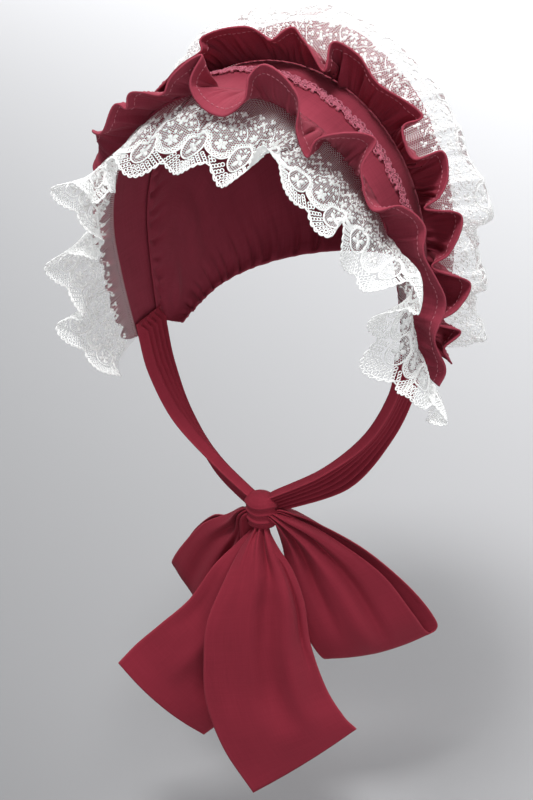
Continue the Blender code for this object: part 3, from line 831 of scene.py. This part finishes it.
def laceCords(surface, count):
    # the hem's cord with its bumps and one just inside it, the main cord's wave and the arcs
    s = laceSettings
    pitch, centreV, dome = s["pitch"], s["width"] - s["waveCentre"], s["pitch"] / 2 - s["hollow"]
    cords = Threads(surface)
    run = np.linspace(0, count * pitch, count * 96 + 1)[None, :]
    cords.tubes(run, hemOf(run, 1.7), 0.1, 0.5, sides=6, flatten=0.8)
    cords.tubes(run[:, ::2], hemOf(run[:, ::2]) - 0.9, 0.1, 0.42, sides=5)
    over, down = np.radians(np.linspace(180, 360, 22)), np.radians(np.linspace(180, 0, 28))[1:-1]
    waveU = np.concatenate([dome * np.cos(over), pitch / 2 + s["hollow"] * np.cos(down)])
    waveV = np.concatenate([s["domeRise"] * dome * np.sin(over), s["hollow"] * np.sin(down)])
    waveU = ((np.arange(-1, count + 1) + 0.5)[:, None] * pitch + waveU[None, :]).reshape(1, -1)
    waveV = centreV + np.tile(waveV, count + 2).reshape(1, -1)
    kept = (waveU[0] >= 0) & (waveU[0] <= count * pitch)
    cords.tubes(waveU[:, kept], waveV[:, kept], 0.3, 0.55, sides=6)
    middle = (np.arange(count) + 0.5)[:, None] * pitch
    turn = np.radians(np.linspace(-12, 192, 26))[None, :]
    arcU = middle + s["arcRadius"] * np.cos(turn)
    arcV = s["width"] - s["arcCentre"] + s["arcRadius"] * np.sin(turn)
    cords.tubes(arcU, arcV, 0.25, 0.5, sides=5)
    # a thin cord above the loops in each hollow
    cusp = np.arange(1, count)[:, None] * pitch
    turn = np.radians(np.linspace(8, 172, 18))[None, :]
    inner = s["hollow"] - 3.4
    cords.tubes(cusp + inner * np.cos(turn), centreV + inner * np.sin(turn), 0.2, 0.26, sides=4)
    # stems that climb from the domes to either side and carry the clusters
    climb = np.linspace(0, 1, 20)[None, :]
    lowStem = 4.5 + 7.0 * climb - 2.0 * np.sin(math.pi * climb)
    highStem = 14.0 - 5.5 * climb**2
    for side in (-1, 1):
        for across, start, rise in ((lowStem, 32.5, 13), (highStem, 41, 14)):
            cords.tubes(middle + side * across, s["width"] - start - rise * climb, 0.15, 0.28, sides=4)
    return cords


# the embroidery on one scallop; each place is across from its middle and up from its hem, in millimetres,
# and a leaf or cluster beside the middle line has a twin on its other side
flowers = [
    # place, number of petals, first angle, how far out they are, their length and width
    (0.0, 18.9, 4, 45, 3.2, 5.2, 3.2),
    (16.5, 24.3, 5, 90, 2.5, 3.6, 2.6),
    (0.0, 37.2, 5, 90, 2.1, 2.8, 2.1),
    (16.5, 40.0, 4, 0, 2.0, 3.0, 2.0),
    (0.0, 50.5, 4, 45, 1.7, 2.4, 1.8),
    (16.5, 54.0, 4, 0, 1.6, 2.2, 1.6),
]
leaves = [
    # place, angle, length and width
    (0.0, 26.6, 90, 2.8, 1.7), (3.3, 25.4, 50, 2.6, 1.4), (16.5, 30.8, 90, 3.0, 1.7),
    (13.0, 30.2, 130, 2.8, 1.5), (8.8, 33.0, 10, 3.2, 1.6), (5.2, 34.6, 120, 3.0, 1.5),
    (12.4, 36.4, 70, 3.0, 1.5), (6.2, 43.6, 40, 3.0, 1.5), (0.0, 43.4, 90, 2.8, 1.5),
    (16.5, 46.6, 90, 2.8, 1.5), (12.6, 52.0, 120, 2.6, 1.4),
]
# the place of each cluster of three round dots
clusters = [(9.6, 38.4), (12.6, 44.8), (3.6, 46.8), (8.2, 49.4), (5.0, 56.0)]


def twins(across):
    return (1, -1) if 0 < across < laceSettings["pitch"] / 2 else (1,)


def laceFlowers(surface, count):
    middle = (np.arange(count) + 0.5)[:, None] * laceSettings["pitch"]
    width = laceSettings["width"]
    raised = Threads(surface)
    for across, up, petals, first, out, long, wide in flowers:
        angle = np.radians(first + 360 / petals * np.arange(petals))[None, :]
        petalU = middle + across + out * np.cos(angle)
        raised.petals(petalU, width - up + out * np.sin(angle), angle, long, wide, 0.7)
        raised.petals(middle + across, width - up, 0.0, 1.5, 1.5, 0.9, steps=8)
    for across, up, angle, long, wide in leaves:
        for side in twins(across):
            turned = math.radians(-angle if side > 0 else angle - 180)
            raised.petals(middle + side * across, width - up, turned, long, wide, 0.55, steps=8)
    for across, up in clusters:
        for side in twins(across):
            for step in range(3):
                angle = math.radians(90 + 120 * step)
                placeU = middle + side * across + 1.35 * math.cos(angle)
                placeV = width - up + 1.35 * math.sin(angle)
                raised.petals(placeU, placeV, 0.0, 2.0, 2.0, 0.7, steps=8)
    return raised


def makeLace(name, node):
    s = laceSettings
    grid, length = gatheredStrip(columns=700, depths=np.linspace(0, 1, 60), **strips[name])
    count = round(length / s["pitch"])
    surface = Cloth(grid, count * s["pitch"], s["width"])
    # tulle, cut along the scallops
    u = np.linspace(0, count * s["pitch"], 760)
    share = np.linspace(0, 1, 34)
    flatU, flatV = np.broadcast_arrays(u[:, None], share[None, :] * hemOf(u)[:, None])
    points = surface.at(flatU, flatV)[0]
    flat = np.stack([flatU, flatV], axis=-1).reshape(-1, 2)
    tulle = buildMesh(name, points.reshape(-1, 3), [gridFaces(*points.shape[:2])], flat)
    tulle.data.materials.append(laceNet)
    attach(tulle, "root")
    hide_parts(node)
    for part, work in (("Rings", laceRings), ("Cords", laceCords), ("Flowers", laceFlowers)):
        made = work(surface, count).build(name + part)
        made.data.materials.append(laceThread)
        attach(made, "root")
    float(hemOf(u).mean()) * mm * count * s["pitch"] * mm
    print(name, "scallops", count)


makeLace("frontLace", "front_lace")
makeLace("backLace", "back_lace")
print("laces made")

# braid

# the motif is drawn 16.5 mm long and then fitted to the number of motifs
braidSettings = {"endDeg": 117.0, "width": 10.6, "motifs": 23, "drawnLength": 16.5, "lift": 1.0}


def makeBraid():
    # motifs of looped flowers and free rings on a stem of two crossing cords
    s = braidSettings
    degrees = np.linspace(-s["endDeg"], s["endDeg"], 900)
    width = np.linalg.norm(bandEdge(degrees, "back") - bandEdge(degrees, "front"), axis=1)
    across = 0.5 + np.linspace(-0.5, 0.5, 16)[None, :] * (s["width"] * mm / width)[:, None]
    grid = bandSurface(degrees[:, None], across[..., None], (bandSettings["thick"] + 0.3) * mm)
    length = lengthAlong(grid[:, 8])[-1] / mm
    work = Threads(Cloth(grid, length, s["width"]))
    pitch = length / s["motifs"]
    start = np.arange(s["motifs"])[:, None] * pitch
    run = np.linspace(0, length, s["motifs"] * 48)[None, :]
    mid = s["width"] / 2
    for side in (-1, 1):
        work.tubes(run, mid + side * 1.3 * np.sin(run * 2 * math.pi / (pitch / 3)), s["lift"], 0.42, sides=6)
    # place along the motif, place across, loop size, thread, height, for each loop
    loops = [
        (15.4, 3.2, 1.7, 0.55, 1.3), (13.4, -3.2, 1.5, 0.5, 1.1),
        (0.4, 0.0, 1.2, 0.5, 1.3), (5.6, 3.6, 1.2, 0.45, 1.0),
    ]
    for centreU, centreV, first in ((3.4, 1.2, 10), (8.4, -1.6, 40), (12.0, 1.2, 75)):
        for step in range(5):
            angle = math.radians(first + 72 * step)
            loops.append((centreU + 2.3 * math.cos(angle), centreV + 2.3 * math.sin(angle), 1.15, 0.4, 1.3))
        loops.append((centreU, centreV, 0.55, 0.48, 1.75))
    scale = pitch / s["drawnLength"]
    for placeU, placeV, size, thread, height in loops:
        u = start[:, 0] + placeU * scale
        work.rings(u, mid + placeV + 0 * u, size, thread, height, steps=11, sides=5)
    petals = [(6.4, 1.9, 30), (1.0, -2.6, -35), (14.6, -0.6, 15), (10.8, -3.6, -20), (10.0, 3.6, -15)]
    for placeU, placeV, angle in petals:
        work.petals(start + placeU * scale, mid + placeV, math.radians(angle), 3.4, 1.8, 1.8, steps=10)
    made = work.build("bandBraid")
    made.data.materials.append(braidThread)
    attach(made, "root")
    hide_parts("braid_trim")


makeBraid()
print("braid made")

# ribbons and bow

ribbonSizes = {
    "width": 76.0,
    "cloth": 0.6,
    "hem": (3.4, 2.2),  # the hem thickens between these distances from the edge
    "drawn": 30,  # a section has pleats where half its width is below this
    "knotReach": 25,  # an end as near as this to the knot runs on into it
    "sections": 150,
    "strips": 61,
}
knotSettings = {"centre": (-5.0, -62.0, -265.0), "half": (11.0, 9.0, 12.0)}
tieRows = [
    (92.6, -20.5, -157, 0, -14.5, 0, 0),
    (92.8, -21.5, -168.6, -0.4, -14, 0, 0),
    (88, -27, -192, -1, -13, 2, 1),
    (72, -38, -220, -3, -11, 4, 1.5),
    (44, -51, -245, -5, -8, 8, 1.5),
    (11.3, -61, -260, -2, -3, 6, 0.5),
]
# each row is the middle of a section, half of its width as a vector, and how far its middle bows out;
# each fold is where it starts and ends along the ribbon, its place across at both (-1 to 1), its width
# as a share of half the ribbon, and how far it rises or sinks in millimetres
ribbons = {
    "tailCentre": dict(node="bow_tail_centre", held="hung", pleat=1.9, folds=[
        (-0.1, 0.38, 0.10, 0.36, 0.11, -6.5), (0.20, 0.85, 0.34, 0.05, 0.24, -5.5),
        (-0.1, 0.32, -0.50, -0.30, 0.16, 3.5), (0.32, 0.68, 0.78, 0.86, 0.05, -5.0),
        (0.42, 0.88, 0.68, 0.45, 0.18, 4.0), (0.3, 0.8, -0.45, -0.55, 0.3, -2.2),
    ], rows=[
        (-5, -67.5, -276.6, 5, 1.2, 0, 1.5), (-5, -74, -287, 11, 5, 0, 6), (-5, -81, -304, 19, 12, 1, 9),
        (-7, -87, -326, 26, 17, 1, 9), (-8, -92, -353, 29, 18, -1, 8), (-6, -94, -385, 33, 20, -2, 7),
        (2, -94, -413, 34, 21, 5, 6), (12, -91, -436, 30, 21, 17, 3),
    ]),
    "tailRight": dict(node="bow_tail_right", held="hung", pleat=1.6, folds=[
        (0.05, 0.82, 0.25, 0.50, 0.30, -8.0), (0.25, 0.85, -0.30, -0.20, 0.18, 2.5),
        (0.1, 0.7, -0.65, -0.75, 0.15, -2.2),
    ], rows=[
        (-8, -62, -277.8, 4, 1, -0.5, 1), (-14, -68, -291, 9, 3, -3, 3), (-22, -77, -312, 14, 5, -12, 6),
        (-34, -85, -344, 19, 6, -22, 8), (-50, -93, -366, 23, 6, -27, 7), (-67, -101, -383, 24, 5, -29, 6),
        (-80, -107, -395, 23, 7, -29, 7),
    ]),
    "loopLeft": dict(node="bow_loop_left", held="folded", pleat=4.2, folds=[
        (-0.1, 0.34, -0.15, -0.45, 0.12, -5.0), (-0.1, 0.40, 0.50, 0.25, 0.14, -5.0),
        (0.10, 0.45, 0.05, -0.05, 0.2, 3.0),
    ], rows=[
        (8.3, -64, -270, 3, 2, 2, 1), (18, -56, -290, 11, 8, 3, 2), (31, -50, -322, 24, 17, 2, 4),
        (41, -44, -355, 28, 20, 1, 6), (45, -38, -373, 28, 21, 1, 5), (47, -33, -378, 28, 21, 1, 4),
        (49, -28, -373, 28, 21, 1, 3), (41, -32, -345, 25, 18, 1, 3), (27, -41, -308, 18, 12, 1, 2),
        (14, -50, -283, 8, 6, 3, 1), (8.3, -57, -269, 3, 2, 2, 0),
    ]),
    "loopRight": dict(node="bow_loop_right", held="folded", pleat=4.2, folds=[
        (-0.1, 0.46, -0.05, 0.10, 0.12, -7.0), (-0.1, 0.40, 0.50, 0.42, 0.14, 4.0),
        (0.05, 0.46, -0.50, -0.45, 0.20, -3.5),
    ], rows=[
        (-18.6, -64, -269.5, 3, -1.5, -2.5, 1), (-27, -60, -285, 9, -3, -8, 2),
        (-40, -60, -306, 18, -6, -17, 4),
        (-54, -62, -331, 24, -8, -22, 5), (-61, -62, -346, 27, -8, -24, 4), (-64, -57, -352, 27, -8, -24, 3),
        (-61, -51, -346, 27, -8, -24, 2), (-50, -50, -322, 23, -7, -20, 2), (-37, -52, -297, 15, -5, -12, 1),
        (-25, -55, -282, 7, -2, -4, 1), (-18.6, -58, -271.5, 3, -1.5, -1.5, 0),
    ]),
}
for side, name, node in ((1, "tieLeft", "tie_left"), (-1, "tieRight", "tie_right")):
    turned = [(side * x, y, z, side * hx, hy, hz, side * bow) for x, y, z, hx, hy, hz, bow in tieRows]
    turned[-1] = (turned[-1][0] + knotSettings["centre"][0], *turned[-1][1:])
    ribbons[name] = dict(node=node, held="hung", pleat=0.0, tucks=3.1 * side, rows=turned)


def ribbonGrid(rows, sections, strips, pleat, folds=(), tucks=0.0):
    # sections across a curve through the rows, with pleats where the ribbon is drawn narrow; an end
    # that lies at the knot runs on into it
    rows = [np.array(row, float) for row in rows]
    centre = np.array(knotSettings["centre"])
    for end, step in ((0, 1), (-1, -1)):
        if np.linalg.norm(rows[end][:3] - centre) < ribbonSizes["knotReach"]:
            inner = rows[end] - 0.25 * (rows[end + step] - rows[end])
            inner[:3] = rows[end][:3] + 0.55 * (centre - rows[end][:3])
            rows.insert(0 if step > 0 else len(rows), inner)
    line = curveThrough(rows, sections)
    centre = line[:, None, 0:3] * mm
    half = line[:, None, 3:6] * mm
    along = unit(np.gradient(centre[:, 0], axis=0))[:, None]
    face = unit(np.cross(along, half))
    across = np.linspace(-1, 1, strips)[None, :, None]
    room = np.linalg.norm(half, axis=-1, keepdims=True) / (ribbonSizes["drawn"] * mm)
    narrow = np.clip(1 - room, 0, 1)
    bow = line[:, None, 6:7] * mm * (1 - across**2)
    fold = pleat * mm * narrow * np.cos(3 * math.pi * across)
    fine = 0.3 * pleat * mm * narrow**1.5 * np.cos(7 * math.pi * across + 1.0)
    share = np.linspace(0, 1, sections)[:, None, None]
    # five lengthwise tucks on the inner side take up the cloth of a ribbon much wider than its place
    fold = fold + tucks * mm * smooth(0.0, 0.10, share) * (1 + np.cos(5 * math.pi * across))
    for start, end, first, last, wide, rise in folds:
        place = first + (last - first) * (share - start) / (end - start)
        fade = smooth(start - 0.1, start + 0.05, share) * smooth(end + 0.05, end - 0.15, share)
        fold = fold + rise * mm * fade * np.minimum(room, 1) * np.exp(-(((across - place) / wide) ** 2))
    return centre + half * across + face * (bow + fold + fine)


def makeRibbon(name):
    s, settings = ribbonSizes, ribbons[name]
    folds, tucks = settings.get("folds", ()), settings.get("tucks", 0.0)
    grid = ribbonGrid(settings["rows"], s["sections"], s["strips"], settings["pleat"], folds, tucks)
    v = lengthAlong(grid[:, s["strips"] // 2]) / mm
    u = np.linspace(0, s["width"], s["strips"])
    edge = np.minimum(u, s["width"] - u)
    hem = smooth(*s["hem"], edge)
    thick = s["cloth"] * (1 + 0.7 * hem) * mm
    flat = flatPlaces(u[None, :], v[:, None])
    # painted highlight along both edges of the ribbon
    paintedHighlight = 0.55 * np.exp(-(edge / 1.1) ** 2)[None, :] + 0 * v[:, None]
    made = shell(name, grid, thick[None, :], flat, paintedHighlight)
    made.data.materials.append(ribbonCloth)
    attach(made, "root")
    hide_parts(settings["node"])
    s["width"] * mm


def makeKnot():
    # a wrapped band: an ellipse round, pinched at its waist, with folds that run round it
    s = knotSettings
    columns, rows = 97, 49
    turn = np.linspace(0, 2 * math.pi, columns)[:, None]
    level = np.linspace(-1, 1, rows)[None, :]
    bulge = np.abs(1 - np.abs(level) ** 3.2) ** (1 / 2.4)
    slant = level + 0.16 * np.sin(turn + 0.6) + 0.06 * np.sin(3 * turn)
    wraps = 0.055 * np.cos(4.3 * math.pi * slant) + 0.03 * np.cos(9.1 * math.pi * slant + 1)
    folds = 1 + wraps * (1 - level**4)
    waist = 1 - 0.08 * np.cos(math.pi * level) - 0.07 * np.sin(2 * turn) * level
    size = bulge * folds * waist
    points = np.stack(
        [
            s["centre"][0] + s["half"][0] * size * np.cos(turn),
            s["centre"][1] + s["half"][1] * size * np.sin(turn),
            s["centre"][2] + s["half"][2] * level + 0 * turn,
        ],
        axis=-1,
    ) * mm
    # the last column is the first again
    points = points[:-1].reshape(-1, 3)
    faces = gridFaces(columns, rows) % len(points)
    flat = flatPlaces(turn[:-1] * 10, level * 12)
    made = buildMesh("bowKnot", points, [faces[:, ::-1]], flat.reshape(-1, 2), np.zeros(len(points)))
    made.data.materials.append(ribbonCloth)
    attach(made, "root")
    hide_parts("bow_knot")


makeKnot()
for name in ribbons:
    makeRibbon(name)
print("ribbons made")

# floor, light and camera

stageSettings = {
    "floor": -0.50,
    # painted light falloff: the floor is painted dark near the camera and light far away
    "near": (0.20, 0.20, 0.205),
    "far": (0.71, 0.71, 0.725),
    "aim": (0, 0, -0.15),
    "worldColor": (0.94, 0.97, 1.0),
    "worldStrength": 0.33,
}
lights = [
    # name, place, size, watts
    ("key", (0.25, -0.45, 1.90), 0.55, 35),
    ("fill", (1.4, -1.6, 0.3), 1.0, 9),
    ("back", (0.9, 1.5, 1.2), 1.4, 16),
]
backdropLight = {"place": (-1.2, 3.4, 2.6), "aim": (-1.8, 3.6, -0.5), "size": 3.0, "watts": 184}
cameraSettings = {
    "target": (0.0, -0.030, -0.150),
    "distance": 1.1,
    "azimuth": 32.6,
    "elevation": 24.8,
    "roll": -9.76,
    "lens": 81.08,
    "shift": (0.0019, -0.0963),
}


def makeStage():
    s = stageSettings
    corners = [(-6, -4), (6, -4), (6, 9), (-6, 9)]
    points = np.array([(x, y, s["floor"]) for x, y in corners], float)
    floor = buildMesh("floor", points, [np.array([[0, 1, 2, 3]])])
    look = Look("floorPaintedFalloff", s["far"], 0.9)
    place = look.node("ShaderNodeTexCoord", None, None, 3)
    x, y = (look.node("ShaderNodeSeparateXYZ", None, {0: place}, axis) for axis in (0, 1))
    # painted light: the floor's colour runs from the dark near colour to the light far colour, lighter
    # towards +y and +x
    share = ((y + x * 0.6 + 0.5) / 1.8).clamp()
    look.set("Base Color", look.mixColor(share, s["near"], s["far"]))
    floor.data.materials.append(look.material)
    spots = [(name, place, s["aim"], size, watts) for name, place, size, watts in lights]
    spots.append(("backdrop", *(backdropLight[part] for part in ("place", "aim", "size", "watts"))))
    for name, place, aim, size, watts in spots:
        lamp = bpy.data.lights.new(name, "AREA")
        lamp.energy, lamp.size = watts, size
        made = bpy.data.objects.new(name, lamp)
        made.location = place
        made.rotation_euler = (Vector(aim) - Vector(place)).to_track_quat("-Z", "Y").to_euler()
        bpy.context.scene.collection.objects.link(made)
    world = bpy.data.worlds.new("room")
    bpy.context.scene.world = world
    world.use_nodes = True
    background = world.node_tree.nodes["Background"]
    background.inputs[0].default_value = (*s["worldColor"], 1)
    background.inputs[1].default_value = s["worldStrength"]


def makeCamera():
    s = cameraSettings
    azimuth, elevation, roll = (math.radians(s[name]) for name in ("azimuth", "elevation", "roll"))
    level = math.cos(elevation)
    back = Vector((math.sin(azimuth) * level, -math.cos(azimuth) * level, math.sin(elevation)))
    right = Vector((0, 0, 1)).cross(back).normalized()
    up = back.cross(right)
    right, up = math.cos(roll) * right + math.sin(roll) * up, -math.sin(roll) * right + math.cos(roll) * up
    lens = bpy.data.cameras.new("camera")
    lens.lens, lens.sensor_width = s["lens"], 36.0
    lens.shift_x, lens.shift_y = s["shift"]
    lens.clip_start, lens.clip_end = 0.05, 50
    made = bpy.data.objects.new("camera", lens)
    turn = Matrix((right, up, back)).transposed()
    made.matrix_world = Matrix.Translation(Vector(s["target"]) + s["distance"] * back) @ turn.to_4x4()
    bpy.context.scene.collection.objects.link(made)
    bpy.context.scene.camera = made


makeStage()
makeCamera()
bpy.context.scene.view_settings.view_transform = "Standard"
print("stage made")
